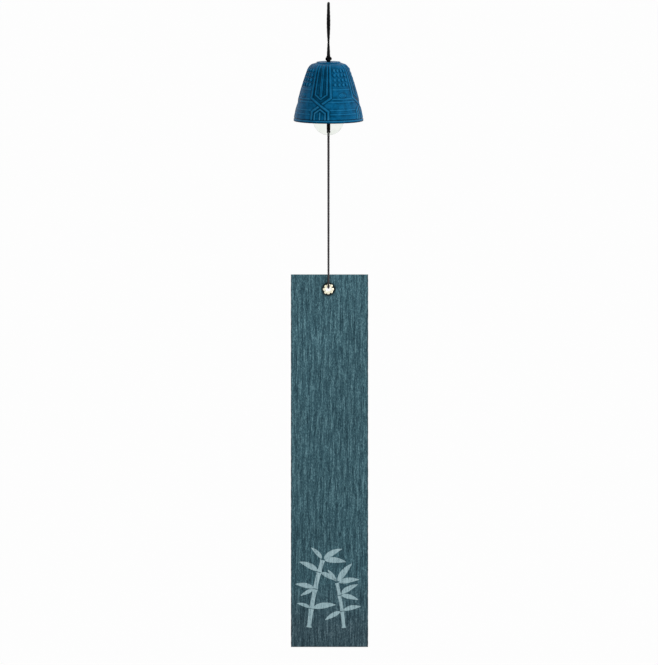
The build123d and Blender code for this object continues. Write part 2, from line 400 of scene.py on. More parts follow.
def crepe_paper(tree):
    """Teal crepe paper, darker along its cut edges and over its last stretch, with painted light toward its
    head, painted shade toward its foot and a painted shadow round the eyelet.
    """
    colour, wrinkle = crepe_colour_and_furrow_shade(tree)
    place = piece_place(tree)
    axes = add_node(tree, "ShaderNodeSeparateXYZ", {"Vector": place}).outputs
    across = sums(tree, "ABSOLUTE", sums(tree, "SUBTRACT", axes["X"], strip_shift * MM))
    edge = fit(across, (strip_half_width - paper_edge) * MM, strip_half_width * MM)
    colour = mixed(edge, colour, linear(38, 60, 68))
    strip_foot = strip_top - strip_length
    # Painted light and shade: the paper is lighter toward its head and darker toward its foot
    painted_fall_of_light = fit(axes["Z"], strip_foot * MM, strip_top * MM, painted_foot_shade, painted_head_light)
    colour = shaded(colour, painted_fall_of_light)
    # Darker and greyer over the strip's last stretch toward the bottom
    foot_darkening = fit(axes["Z"], *(MM * level for level in foot_darkening_levels))
    colour = mixed(foot_darkening, colour, shaded(colour, linear(252, 230, 230)))
    # Painted shadow: a dark ring in the paper's colour round the eyelet
    ends = {0: place, 1: (0.0, 0.0, eyelet_level * MM)}
    from_eyelet = add_node(tree, "ShaderNodeVectorMath", ends, operation="DISTANCE").outputs["Value"]
    pressed = fit(from_eyelet, *(MM * radius for radius in eyelet_shadow_radii))
    return {
        "Base Color": mixed(pressed, colour, linear(20, 32, 33)),
        "Roughness": fit_noise(wrinkle, 0.8, 0.95),
        "Specular IOR Level": 0.15,
        "Normal": bump(wrinkle, depth=0.6),
    }


def print_ink(tree):
    """Pale ink, thin where the paper's furrows kept it off."""
    paper, wrinkle = crepe_colour_and_furrow_shade(tree)
    # The ink is lighter on the furrows' crests and darker in their troughs: painted light and shade, with
    # fibre flecks
    ink = ramp(wrinkle, ((0.35, (138, 168, 176)), (0.65, (170, 197, 203))))
    bare = fit(wrinkle, 0.36, 0.46, to_low=0.5, to_high=0.0)
    return {
        "Base Color": mixed(bare, ink, paper),
        "Roughness": 0.85,
        "Specular IOR Level": 0.2,
        "Normal": bump(wrinkle, depth=0.3),
    }


def pale_brass(tree):
    """Pale pressed brass with fine tool marks."""
    mark = grain(tree, 1900.0, detail=4.0, distortion=0.8)
    tarnish = grain(tree, 500.0, detail=3.0)
    tones = ((0.3, (236, 229, 196)), (0.55, (248, 243, 220)), (0.8, (253, 250, 236)))
    return {
        "Base Color": ramp(tarnish, tones),
        "Metallic": 1.0,
        "Roughness": fit_noise(mark, 0.24, 0.42),
        "Normal": bump(mark, depth=0.05),
    }


# Meshes
def linked(name, data):
    """A new object in the scene."""
    made = bpy.data.objects.new(name, data)
    bpy.context.scene.collection.objects.link(made)
    return made


def mesh_object(name, points, faces, material, smooth=True):
    """A piece from points in millimetres, with its faces and its material."""
    mesh = bpy.data.meshes.new(name)
    mesh.from_pydata([tuple(MM * c for c in point) for point in points], [], faces)
    mesh.validate()
    mesh.polygons.foreach_set("use_smooth", [smooth] * len(mesh.polygons))
    mesh.materials.append(material)
    return linked(name, mesh)


def grid_faces(rows, columns, close_rows=False, close_columns=False):
    """The faces of a grid whose points run along the columns of each row in turn."""
    order = np.arange(rows * columns).reshape(rows, columns)
    corners = [np.roll(order, shift, (0, 1)) for shift in ((0, 0), (0, -1), (-1, -1), (-1, 0))]
    faces = np.stack(corners, 2)[: rows if close_rows else -1, : columns if close_columns else -1]
    return [tuple(face) for face in faces.reshape(-1, 4).tolist()]


def point_values(piece, name, values):
    """Keeps one number for each point of a piece, for its material."""
    kept = piece.data.attributes.new(name, "FLOAT", "POINT")
    kept.data.foreach_set("value", np.asarray(values, np.float32))


def joined(name, pieces):
    """Several pieces as one."""
    whole = pieces[0]
    with bpy.context.temp_override(active_object=whole, selected_editable_objects=pieces):
        bpy.ops.object.join()
    whole.name = whole.data.name = name
    return whole


# Cords
def centreline(name, route, closed=False):
    """One smooth line with a cord's route as its control points."""
    line = bpy.data.curves.new(name, "CURVE")
    line.dimensions = "3D"
    line.resolution_u = 16
    spline = line.splines.new("NURBS")
    spline.points.add(len(route) - 1)
    for control, point in zip(spline.points, route):
        control.co = (*(MM * c for c in point), 1.0)
    spline.use_cyclic_u = closed
    spline.order_u = 3
    spline.use_endpoint_u = not closed
    return linked(name, line)


# Geometry nodes
def new_tree(name, inputs):
    """A tree that makes one mesh, a way to add nodes to it, and its inputs' sockets."""
    tree = bpy.data.node_groups.new(name, "GeometryNodeTree")
    for socket, kind in inputs.items():
        tree.interface.new_socket(socket, in_out="INPUT", socket_type="NodeSocket" + kind)
    tree.interface.new_socket("Mesh", in_out="OUTPUT", socket_type="NodeSocketGeometry")
    add = partial(add_node, tree)
    return tree, add, add("NodeGroupInput").outputs


def end_tree(tree, geometry, material):
    """Ends a tree: its instances become real and take their material."""
    real = add_node(tree, "GeometryNodeRealizeInstances", {"Geometry": geometry})
    dressed = add_node(tree, "GeometryNodeSetMaterial", {"Geometry": real, "Material": material})
    add_node(tree, "NodeGroupOutput", {"Mesh": dressed})
    return tree


def laid_cord_tree():
    """Strands laid round a centreline: a lobed section that turns steadily along it."""
    measures = dict.fromkeys(("Radius", "Lobe", "Strands", "Turn", "Step"), "Float")
    tree, add, given = new_tree("laid_cord", {"Line": "Geometry", **measures, "Cord": "Material"})
    line = add("GeometryNodeResampleCurve", {"Curve": given["Line"], "Length": given["Step"]}, mode="LENGTH")
    along = add("GeometryNodeSplineParameter").outputs["Length"]
    tilt = sums(tree, "MULTIPLY", along, given["Turn"])
    laid = add("GeometryNodeSetCurveTilt", {"Curve": line, "Tilt": tilt})
    section = add("GeometryNodeCurvePrimitiveCircle", {"Resolution": 18, "Radius": given["Radius"]})
    place = add("GeometryNodeInputPosition")
    axes = add("ShaderNodeSeparateXYZ", {"Vector": place}).outputs
    angle = sums(tree, "ARCTAN2", axes["Y"], axes["X"])
    wave = sums(tree, "COSINE", sums(tree, "MULTIPLY", angle, given["Strands"]))
    swell = sums(tree, "MULTIPLY", sums(tree, "SUBTRACT", wave, 1.0), given["Lobe"])
    shift = add("ShaderNodeVectorMath", {"Vector": place, "Scale": swell}, operation="SCALE")
    lobed = add("GeometryNodeSetPosition", {"Geometry": section, "Offset": shift})
    mesh = add("GeometryNodeCurveToMesh", {"Curve": laid, "Profile Curve": lobed, "Fill Caps": True})
    smooth = add("GeometryNodeSetShadeSmooth", {"Geometry": mesh})
    return end_tree(tree, smooth, given["Cord"])


def made_by(tree, source, values):
    """The mesh that a node tree makes of a piece, in that piece's place."""
    modifier = source.modifiers.new(tree.name, "NODES")
    modifier.node_group = tree
    for socket in tree.interface.items_tree:
        if socket.in_out == "INPUT" and socket.name in values:
            modifier[socket.identifier] = values[socket.name]
    bpy.context.view_layer.update()
    view = bpy.context.evaluated_depsgraph_get()
    mesh = bpy.data.meshes.new_from_object(source.evaluated_get(view))
    name = source.name
    bpy.data.objects.remove(source)
    mesh.name = name
    return linked(name, mesh)


black_cord = new_material("black_spun_cord", spun_cord, (2, 2, 3), (13, 13, 16))
charcoal_string = new_material("charcoal_spun_string", spun_cord, (44, 42, 44), (84, 80, 82))
cord_tree = laid_cord_tree()


def laid_cord(
    name, route, radius=cord_radius, material=black_cord, closed=False,
    strands=3.0, lay=4.2, swell=swell_share, lobe=lobe_share,
):
    """A laid cord on its route, and the points of its centreline."""
    line = centreline(name, route, closed)
    bare = bpy.data.meshes.new_from_object(line)
    path = [tuple(point.co) for point in bare.vertices]
    bpy.data.meshes.remove(bare)
    values = {
        "Radius": radius * swell * MM, "Lobe": lobe, "Strands": strands,
        "Turn": 2 * pi / (lay * strands * MM), "Step": cord_step * MM, "Cord": material,
    }
    return made_by(cord_tree, line, values), path


def knot_route(level, half_width, half_height, half_depth, lean, flat, points=24):
    """A closed overhand knot: a line that crosses itself three times."""
    route = []
    for n in range(points):
        turn = 2 * pi * n / points
        reach = (2 + cos(3 * turn)) / 3
        across = reach * cos(2 * turn + lean)
        up = reach * sin(2 * turn + lean)
        deep = sin(3 * turn)
        if flat:
            up, deep = deep, up
        route.append((half_width * across, half_depth * deep, level + half_height * up))
    return route


def strand_point(half_gap, turn, level, side):
    """A point of one strand of a pair, with the pair's turn in degrees."""
    angle = radians(turn)
    return side * half_gap * cos(angle), side * half_gap * sin(angle), level


# The hanging loop, from the knot up, over the fold and down again
loop_levels = (-4.0, -9.0, -14.0, -19.0, -25.0, -31.5, -38.0, -43.5)
loop_turns = (70.0, 45.0, 20.0, -5.0, -33.0, -62.0, -92.0, -119.0)
loop_gaps = (1.25, *[pair_half_gap] * 7)
loop_fold = (1.4, 70.0, 0.75)
loop_end = (0.875, -146.0, -50.35)
loop_side = [loop_fold, *zip(loop_gaps, loop_turns, loop_levels), loop_end]
loop_route = [strand_point(*row, 1) for row in reversed(loop_side)]
loop_route += [strand_point(*row, -1) for row in loop_side]

# The clapper cord, laced through both holes of the disc
clapper_cord_top = -66.658
upper_hole_level = -101.3
lower_hole_level = -122.4
lace_forward = -5.7
lace_end = -2.35
lace_step = abs(lace_forward)
lace_route = [
    (0.0, clapper_cord_top),
    (0.0, upper_hole_level + lace_step),
    (0.0, upper_hole_level),
    (lace_forward, upper_hole_level),
    (lace_forward, upper_hole_level - lace_step),
    (lace_forward, lower_hole_level + lace_step),
    (lace_forward, lower_hole_level),
    (lace_end, lower_hole_level),
]

# The lace's ends go on from the lower hole into the knot, drawing together by a share
lace_end_route = [
    (1.0, lace_end - 0.9, lower_hole_level),
    (1.0, lace_end + 0.9, lower_hole_level),
    (0.55, -0.3, lower_hole_level - 0.3),
    (0.35, 0.0, clapper_knot_level),
]

# The strip's string, down to the eyelet, through it and up again
string_top = -126.55
string_fold = -276.1
string_leg = (0.166, -0.783)
string_turn = degrees(atan2(string_leg[1], string_leg[0]))
string_spread = 1.7
string_step = 2 * string_spread
string_side = [
    (*string_leg, string_top),
    (0.0, -string_spread, string_fold + string_step),
    (0.0, -string_spread, string_fold),
]
string_route = string_side + [(-x, -y, z) for x, y, z in reversed(string_side)]


def tied_knot(name, level, size, lean, rise, drop, half_gap, turns=(0, 0), flat=False, radius=cord_radius):
    """A knot's crossed turns, with the pair of cords that runs into it."""
    route = knot_route(level, *size, lean, flat)
    parts = [laid_cord(name, route, radius, closed=True)[0]]
    top, bottom = level + rise, level - drop
    for n, side in enumerate((-1, 1)):
        stub = [
            strand_point(half_gap, turns[0], top, side),
            strand_point(stub_gap_share * half_gap, sum(turns) / 2, (top + bottom) / 2, side),
            strand_point(half_gap, turns[1], bottom, side),
        ]
        parts.append(laid_cord(f"{name}_end_{n}", stub, radius)[0])
    return joined(name, parts)


hanging_loop, loop_path = laid_cord("hanging_cord", loop_route)
crown_knot = tied_knot(
    "crown_tied_knot", crown_knot_level, size=(2.5, 2.0, 1.3), lean=-0.35,
    rise=3.4, drop=2.8, half_gap=pair_half_gap, turns=(loop_end[1], -180.0),
)
stopper_knot = tied_knot(
    "stopper_tied_knot", stopper_level, size=(2.2, 1.5, 2.2), lean=0.4,
    rise=2.6, drop=4.0, half_gap=0.7, flat=True,
)
clapper_knot = tied_knot(
    "clapper_tied_knot", clapper_knot_level, size=(1.15, 1.1, 0.8), lean=-0.5,
    rise=1.4, drop=3.2, half_gap=0.75, turns=(0.0, string_turn), radius=string_radius,
)
crown_strands, clapper_strands, lace_ends = [], [], []
for side, x in (("left", -pair_half_gap), ("right", pair_half_gap)):
    route = [(x, 0.0, level) for level in neck_levels]
    crown_strands.append(laid_cord("crown_strand_" + side, route)[0])
    route = [(x, y, z) for y, z in lace_route]
    strand = laid_cord("clapper_cord_" + side, route, swell=pair_swell_share, lobe=pair_lobe_share)
    clapper_strands.append(strand)
    route = [(share * x, y, z) for share, y, z in lace_end_route]
    lace_ends.append(laid_cord("clapper_lace_end_" + side, route)[0])
crown_cord = joined("crown_strands", crown_strands)
lace_tie = joined("clapper_lace_ends", lace_ends)
strip_string, string_path = laid_cord(
    "strip_cord", string_route, string_radius, charcoal_string, strands=2.0, lay=2.6, swell=string_swell_share
)


# The bell
def arc(start, middle, end, count):
    """Points along the arc through three points, each a radius and a height."""
    first, second, third = (complex(*point) for point in (start, middle, end))
    ratio = (third - first) / (second - first)
    centre = (second - first) * (ratio - abs(ratio) ** 2) / (2j * ratio.imag) + first
    sweep = np.angle((third - centre) / (first - centre))
    points = centre + (first - centre) * np.exp(1j * sweep * np.linspace(0, 1, count))
    return list(zip(points.real, points.imag))


def quarter(corner, start, end, count=4):
    """Points round a corner, from one side of it to the other."""
    t = np.linspace(0, 1, count)[:, None]
    return (1 - t) ** 2 * np.array(start) + 2 * t * (1 - t) * np.array(corner) + t**2 * np.array(end)


def bell_outline():
    """The bell's wall in section: down the inside, up the outside and over the crown."""
    under = bell_height - crown_thickness
    foot = rim_radius - lip_proud
    crown_edge = (plateau_radius, bell_height - plateau_round)
    crown_top = (plateau_radius - plateau_round, bell_height)
    inside = [
        *np.linspace((crown_hole_radius, under), (cavity_top_radius, under), 4),
        *np.linspace((cavity_top_radius, under), cavity_shoulder, 5)[1:],
        *arc(cavity_shoulder, cavity_mid, cavity_rim, 18)[1:-1],
        *quarter(cavity_rim, (cavity_rim[0], edge_round), (cavity_rim[0] + edge_round, 0.0)),
    ]
    outside = [
        *quarter((foot, 0.0), (foot - edge_round, 0.0), (foot, edge_round), 5),
        *np.linspace((foot, edge_round), flank_low, 7)[1:],
        *arc(flank_low, flank_mid, shoulder, 118)[1:],
        *arc(shoulder, shoulder_mid, plateau_foot, 22)[1:],
    ]
    crown = [
        *np.linspace((plateau_radius, plateau_foot[1] + 0.05), crown_edge, 3),
        *quarter((plateau_radius, bell_height), crown_edge, crown_top)[1:],
        *np.linspace(crown_top, (crown_hole_radius, bell_height), 5)[1:],
    ]
    return inside, outside, crown


def ridge(distance, half_width, soft=0.27):
    """The share of a raised line's height at a distance from its middle."""
    return 0.5 * (1 + np.tanh((half_width - np.abs(distance)) / soft))


def above(height, level, soft=0.2):
    """1 above a level and 0 below it, with a soft step."""
    return 0.5 * (1 + np.tanh((height - level) / soft))


def from_segment(across, height, start, end):
    """The distance from a straight stretch of the pattern, laid out flat."""
    run = np.subtract(end, start)
    aside, up = across - start[0], height - start[1]
    share = np.clip((aside * run[0] + up * run[1]) / np.dot(run, run), 0, 1)
    return np.hypot(aside - share * run[0], up - share * run[1])


def from_upright(turn, height, radius, at, low=-1000.0, high=1000.0):
    """The distance from an upright line at one turn, between two heights."""
    beyond = np.maximum(np.maximum(low - height, height - high), 0)
    return np.hypot(np.radians(turn - at) * radius, beyond)


def from_strap(turn, height, radius, side):
    """The distance from one strap: down a frame, across the band and down the other side's leg."""
    across = np.radians(turn) * radius
    start = (side * strap_bend_across, strap_bend)
    slant = from_segment(across, height, start, (-side * strap_foot_across, strap_foot))
    upper = from_upright(turn, height, radius, side * band_half_turn, low=strap_bend)
    lower = from_upright(turn, height, radius, -side * leg_turn, high=strap_foot)
    return np.minimum(np.minimum(upper, lower), slant)


def grooved(relief, distance, half_width, proud, groove, where=1.0):
    """Adds a raised line with a sunk line along both its sides."""
    beside = ridge(distance - half_width - groove_offset, groove_half_width, groove_soft)
    return np.maximum(relief - groove * beside * where, proud * ridge(distance, half_width) * where)


def band_relief(turn, height, radius):
    """The lines inside one band: a pointed frame and a rib above, an arch and a rib at the foot."""
    across = np.abs(np.radians(turn) * radius)
    relief = np.zeros_like(height)
    for side_turn, limit, bend, bend_across, point in (
        (vee_turn, "low", vee_bend, vee_across, vee_point),
        (arch_turn, "high", arch_bend, arch_across, arch_point),
    ):
        upright = from_upright(np.abs(turn), height, radius, side_turn, **{limit: bend})
        slant = from_segment(across, height, (bend_across, bend), (0.0, point))
        relief = grooved(relief, np.minimum(upright, slant), line_half_width, rib_proud, line_groove)
    middle = from_upright(turn, height, radius, 0.0, low=middle_rib_low)
    relief = grooved(relief, middle, middle_rib_half_width, rib_proud, rib_groove)
    relief -= rib_split * ridge(middle, rib_split_half_width, fine_soft)
    foot = from_upright(turn, height, radius, 0.0, high=foot_rib_high)
    return grooved(relief, foot, line_half_width, rib_proud, rib_groove)


def panel_relief(turn, height, radius):
    """The pattern of one panel: sash lines, an oval seat and the rings about the bosses."""
    relief = np.zeros_like(height)
    for level in sash_heights:
        relief = np.maximum(relief, line_proud * ridge(height - level, sash_half_width))
    for low, high in sunk_sashes:
        relief -= sash_sink * above(height, low + sash_sink_inset) * above(high - sash_sink_inset, height)
    reach = np.hypot(np.radians(turn) * radius / seat_half_length, (height - seat_level) / seat_half_height)
    seat = seat_proud * ridge(reach, seat_reach, 0.07)
    ring = seat_ring_depth * ridge(reach - seat_ring_reach, seat_ring_half_width, 0.05)
    relief = np.maximum(relief, seat - ring)
    for boss_turn in boss_turns:
        aside = np.radians(turn - boss_turn) * radius / boss_radius
        for boss_level in boss_heights:
            reach = np.hypot(aside, (height - boss_level) / boss_half_height)
            relief -= boss_ring_depth * ridge(reach - boss_ring_reach, boss_ring_half_width, fine_soft)
    return relief


def bell_relief(turn, height, radius):
    """How far the cast pattern stands out, in millimetres, and how much painted shade darkens its colour."""
    band_turn = (turn - front_band_turn + band_step / 2) % band_step - band_step / 2
    panel_turn = (turn - front_band_turn) % band_step - band_step / 2
    across = np.abs(np.radians(band_turn) * radius)
    slope = (strap_bend_across + strap_foot_across) / (strap_bend - strap_foot)
    crossing = strap_foot + strap_foot_across / slope
    edge = slope * np.abs(height - crossing)
    edge = np.where(height > strap_bend, np.radians(band_half_turn) * radius, edge)
    edge = np.where(height < strap_foot, np.radians(leg_turn) * radius, edge)
    band = band_relief(band_turn, height, radius)
    relief = np.where(across < edge, band, panel_relief(panel_turn, height, radius))
    under = from_strap(band_turn, height, radius, 1)
    over = from_strap(band_turn, height, radius, -1)
    clear = 1 - ridge(over, strap_half_width + groove_offset)
    relief = grooved(relief, under, strap_half_width, rib_proud, under_strap_groove, clear)
    slanting = above(height, strap_foot) * above(strap_bend, height)
    groove = over_strap_groove + slant_groove * slanting
    relief = grooved(relief, over, strap_half_width, rib_proud + over_strap_lift, groove)
    relief = relief * above(rib_high, height) * above(height, lip_height + groove_offset)
    beside = ridge(height - lip_height - lip_groove_offset, lip_groove_half_width, lip_soft)
    lip = lip_proud * above(lip_height, height, lip_soft) - lip_groove * beside
    # Painted shade: darker colour over the band above the straps' crossing and over the panels' ground in the
    # boss zone, both ending at the zone's top, and along the rim's foot
    in_band = above(edge, across, 0.6)
    in_zone = above(height, boss_zone[0], zone_soft)
    painted_shade = painted_band_shade * in_band * above(height, crossing) + painted_zone_shade * (1 - in_band) * in_zone
    painted_shade = painted_shade * above(boss_zone[1], height, zone_soft) + painted_rim_shade * above(painted_rim_shade_high, height, 0.3)
    return np.array([relief + lip, painted_shade])


def hollows(relief, weights=(0.05, 0.12, 0.2, 0.26, 0.2, 0.12, 0.05)):
    """How far each point of the pattern stands above the mean about it: below zero in a groove."""
    mean = relief
    reach = len(weights) // 2
    for _ in range(2):
        mean = sum(w * np.roll(mean, n - reach, 1) for n, w in enumerate(weights))
        padded = np.pad(mean, ((reach, reach), (0, 0)), mode="edge")
        mean = sum(w * padded[n : n + len(mean)] for n, w in enumerate(weights))
    return relief - mean


def cast_waves(points):
    """How far the uneven cast skin stands out at each point."""
    return cast_skin * np.array([noise.fractal(Vector(point) * skin_scale, 1.0, 2.0, 3) for point in points])


def around(turn, radius, height):
    """Points about the bell's axis, by their turn from the front in degrees."""
    angle = np.radians(turn)
    return np.stack([radius * np.sin(angle), -radius * np.cos(angle), height], -1)


def build_bell(material, columns=440):
    """The bell's whole wall as one closed skin, with the cast pattern on its outside."""
    inside, outside, crown = bell_outline()
    outline = np.array(inside + outside + crown)
    rows = len(outline)
    radius, height = np.repeat(outline, columns, 0).T
    turn = np.tile(np.arange(columns) * 360 / columns, rows)
    step = np.roll(outline, -1, 0) - np.roll(outline, 1, 0)
    step /= np.linalg.norm(step, axis=1)[:, None]
    run, rise = np.repeat(step, columns, 0).T
    stretch = np.repeat((0, 1, 2), [columns * len(part) for part in (inside, outside, crown)])
    relief, painted_shade = bell_relief(turn, height, radius) * (stretch == 1)
    proud = np.minimum(relief + cast_waves(around(turn, radius, height)), lip_proud)
    lifted = height + proud * np.where(height > lip_height, -run, 0.0)
    points = around(turn, radius + proud * rise, rim_level + lifted)
    made = mesh_object("cast_bell", points, grid_faces(rows, columns, True, True), material)
    # The relief attribute colours the lacquer: dark in the hollows as painted shade, rubbed pale on the
    # ridges, and darker where the painted shade lies
    point_values(made, "relief", hollows(relief.reshape(rows, columns)).ravel() - painted_shade)
    point_values(made, "inside", stretch == 0)
    return made


def flank_at(height):
    """The plain flank's radius at a height, and how far it leans in, in radians."""
    flank = arc(flank_low, flank_mid, shoulder, 200) + arc(shoulder, shoulder_mid, plateau_foot, 60)[1:]
    radii, heights = np.transpose(flank)
    n = np.searchsorted(heights, height)
    lean = atan2(radii[n - 1] - radii[n], heights[n] - heights[n - 1])
    return np.interp(height, heights, radii), lean


def boss_tree():
    """One rounded boss on each point, standing along the point's outward direction."""
    inputs = {"Places": "Geometry", "Size": "Vector", "Iron": "Material"}
    tree, add, given = new_tree("cast_boss_rows", inputs)
    dome = add("GeometryNodeMeshUVSphere", {"Segments": 16, "Rings": 10, "Radius": 1.0})
    shaped = add("GeometryNodeTransform", {"Geometry": dome, "Scale": given["Size"]})
    smooth = add("GeometryNodeSetShadeSmooth", {"Geometry": shaped})
    outward = add("GeometryNodeInputNamedAttribute", {"Name": "outward"}, data_type="FLOAT_VECTOR")
    lean = add("FunctionNodeAlignRotationToVector", {"Vector": outward}, axis="Z")
    values = {"Rotation": lean, "Vector": (0.0, 0.0, 1.0)}
    stand = add("FunctionNodeAlignRotationToVector", values, axis="Y", pivot_axis="Z")
    spots = add("GeometryNodeMeshToPoints", {"Mesh": given["Places"]})
    studs = add("GeometryNodeInstanceOnPoints", {"Points": spots, "Instance": smooth, "Rotation": stand})
    return end_tree(tree, studs, given["Iron"])


def build_bosses(material):
    """Sixteen bosses in each of the four panels."""
    spots = []
    outward = []
    for panel in range(band_count):
        middle = front_band_turn + band_step * (panel + 0.5)
        for height in boss_heights:
            radius, lean = flank_at(height)
            for turn in boss_turns:
                spots.append(around(middle + turn, radius, rim_level + height))
                outward.append(around(middle + turn, cos(lean), sin(lean)))
    places = mesh_object("cast_bosses", spots, [], material)
    kept = places.data.attributes.new("outward", "FLOAT_VECTOR", "POINT")
    kept.data.foreach_set("vector", np.array(outward, np.float32).ravel())
    size = tuple(MM * c for c in (boss_radius, boss_half_height, boss_height))
    made = made_by(boss_tree(), places, {"Size": size, "Iron": material})
    points = np.array([tuple(point.co) for point in made.data.vertices]).reshape(len(spots), -1, 3) / MM
    rise = ((points - np.array(spots)[:, None]) * np.array(outward)[:, None]).sum(2) / boss_height
    # Painted highlight on each boss's top, going over to painted shade at its foot
    point_values(made, "relief", (painted_boss_foot_shade + (painted_boss_highlight - painted_boss_foot_shade) * rise).ravel())
    point_values(made, "inside", np.zeros(rise.size))
    return made


iron = new_material("blue_lacquered_iron", lacquered_iron)
bell = build_bell(iron)
bosses = build_bosses(iron)


# The paper strip
def crepe(x, z):
    """The height of the paper's furrows, which wander as they run down the strip."""
    wander = 1.3 * np.sin(z / 9.0 + 0.11 * x) + 0.8 * np.sin(z / 4.1 - 0.23 * x + 1.7)
    first = np.sin(2 * pi * (x + 0.5 * wander) / furrow_pitches[0])
    first *= 0.65 + 0.35 * np.sin(z / 13 + x / 5)
    second = np.sin(2 * pi * (x - 0.4 * wander) / furrow_pitches[1] + 2.0 + 0.8 * np.sin(z / 17))
    slow = np.sin(x / 9 + z / 41) * np.sin(z / 57 + 0.6)
    return sum(depth * wave for depth, wave in zip(furrow_depths, (first, second, slow)))


def sheet_object(name, x, y, z, thickness, faces, material):
    """A thin sheet about its middle: a front, a back and walls along its open edges."""
    points = np.concatenate([np.stack([x, y + side * thickness / 2, z], 1) for side in (-1, 1)])
    total = len(x)
    walled = faces + [tuple(total + n for n in reversed(face)) for face in faces]
    edges = {edge for face in faces for edge in zip(face, face[1:] + face[:1])}
    for start, end in sorted(edges):
        if (end, start) not in edges:
            walled.append((end, start, total + start, total + end))
    used = sorted({n for face in walled for n in face})
    place = {n: order for order, n in enumerate(used)}
    return mesh_object(name, points[used], [tuple(place[n] for n in face) for face in walled], material)


def build_strip(material, columns=141, rows=261):
    """The strip's front and back with the same furrows, and the eyelet's hole through it."""
    across = strip_shift + np.linspace(-strip_half_width, strip_half_width, columns)
    down = strip_top - strip_length * np.linspace(0, 1, rows)
    x, z = (values.ravel() for values in np.meshgrid(across, down))
    reach = np.hypot(x, z - eyelet_level)
    on_hole = np.abs(reach - strip_hole_radius) < hole_snap
    pull = np.where(on_hole, strip_hole_radius / np.maximum(reach, 0.01), 1.0)
    x, z = x * pull, eyelet_level + (z - eyelet_level) * pull
    reach = np.hypot(x, z - eyelet_level)
    ragged = np.abs(0.12 * np.sin(z / 3.3) + 0.08 * np.sin(z / 1.7 + 1.0))
    on_edge = np.abs(x - strip_shift) > strip_half_width - 0.01
    x = np.where(on_edge, x - np.sign(x) * ragged, x)
    paper = reach > strip_hole_radius - 0.02
    kept = [face for face in grid_faces(rows, columns) if all(paper[n] for n in face)]
    return sheet_object("crepe_strip", x, crepe(x, z), z, strip_thickness, kept, material)


# The print at the strip's foot
def stroke_points(route, half_widths):
    """A brush stroke on the paper: points along its line, and how far it spreads at each."""
    ahead = np.gradient(route, axis=0)
    ahead /= np.linalg.norm(ahead, axis=1)[:, None]
    side = np.stack([-ahead[:, 1], ahead[:, 0]], 1)
    spread = np.linspace(-1, 1, stroke_columns)
    flat = route[:, None] + side[:, None] * (half_widths[:, None] * spread)[:, :, None]
    x, z = flat[..., 0].ravel(), flat[..., 1].ravel()
    return np.stack([x, crepe(x, z) - strip_thickness / 2 - print_lift, z], 1)


def bent_line(start, angle, length, bend):
    """A line from a point that bends steadily, in degrees, as it runs."""
    headings = np.radians(angle + bend * np.linspace(0, 1, stroke_steps))
    walk = np.stack([np.cos(headings), np.sin(headings)], 1) * length / (stroke_steps - 1)
    return np.array(start) + np.concatenate([[[0, 0]], np.cumsum(walk[1:], 0)])


def onward(start, angle, distance):
    """The point at a distance from another, along a heading in degrees."""
    return start + distance * np.array([cos(radians(angle)), sin(radians(angle))])


def build_print(material):
    """Two bamboo canes with pointed leaves, brushed in pale ink."""
    strokes = []
    joints = []
    flare = 1 + cane_flare * np.abs(np.linspace(-1, 1, stroke_steps)) ** 6
    leaf_swell = np.maximum(np.sin(pi * np.linspace(0, 1, stroke_steps) ** 0.75) ** 0.8, 0.03)
    for start, angle, bend, joint_lengths, half_width in canes:
        for length in joint_lengths:
            joints.append(start)
            route = bent_line(start, angle, length, bend / len(joint_lengths))
            strokes.append(stroke_points(route, half_width * flare))
            angle += bend / len(joint_lengths)
            start = onward(route[-1], angle, cane_gap)
        joints.append(route[-1])
    for joint, angle, length, bend in leaves:
        route = bent_line(onward(joints[joint], angle, leaf_gap), angle, length, bend)
        strokes.append(stroke_points(route, leaf_share * length * leaf_swell))
    patch = np.array(grid_faces(stroke_steps, stroke_columns))
    faces = [tuple(face) for n in range(len(strokes)) for face in (patch + n * len(strokes[0])).tolist()]
    return mesh_object("bamboo_print", np.concatenate(strokes), faces, material)


strip = build_strip(new_material("teal_crepe_paper", crepe_paper))
strip_print = build_print(new_material("pale_print_ink", print_ink))


# The eyelet
def build_eyelet_ring(material, columns=72):
    """The eyelet's barrel with its rolled front lip and the flat flange behind the paper."""
    turns = 2 * pi * np.arange(columns) / columns
    points = []
    for beyond, depth in eyelet_section:
        radius = eyelet_bore_radius + beyond
        points.extend((radius * sin(a), depth, eyelet_level + radius * cos(a)) for a in turns)
    return mesh_object("eyelet_ring", points, grid_faces(len(eyelet_section), columns, True, True), material)


def one_petal(material, rows=8, columns=7):
    """One pressed petal at the top of the eyelet, about the eyelet's own middle."""
    grid = np.meshgrid(np.linspace(0, 1, rows), np.linspace(-1, 1, columns), indexing="ij")
    out, side = (values.ravel() for values in grid)
    aside = np.interp(out, petal_places, petal_half_widths) * side
    reach = out - petal_tip_round * side**2 * out
    radius = petal_root_radius + (petal_tip_radius - petal_root_radius) * reach
    rise = petal_lift + petal_dome * np.cos(pi / 2 * out) - petal_side_drop * side**2
    faces = grid_faces(rows, columns)
    return sheet_object("eyelet_petals", aside, -rise, radius, petal_thickness, faces, material)


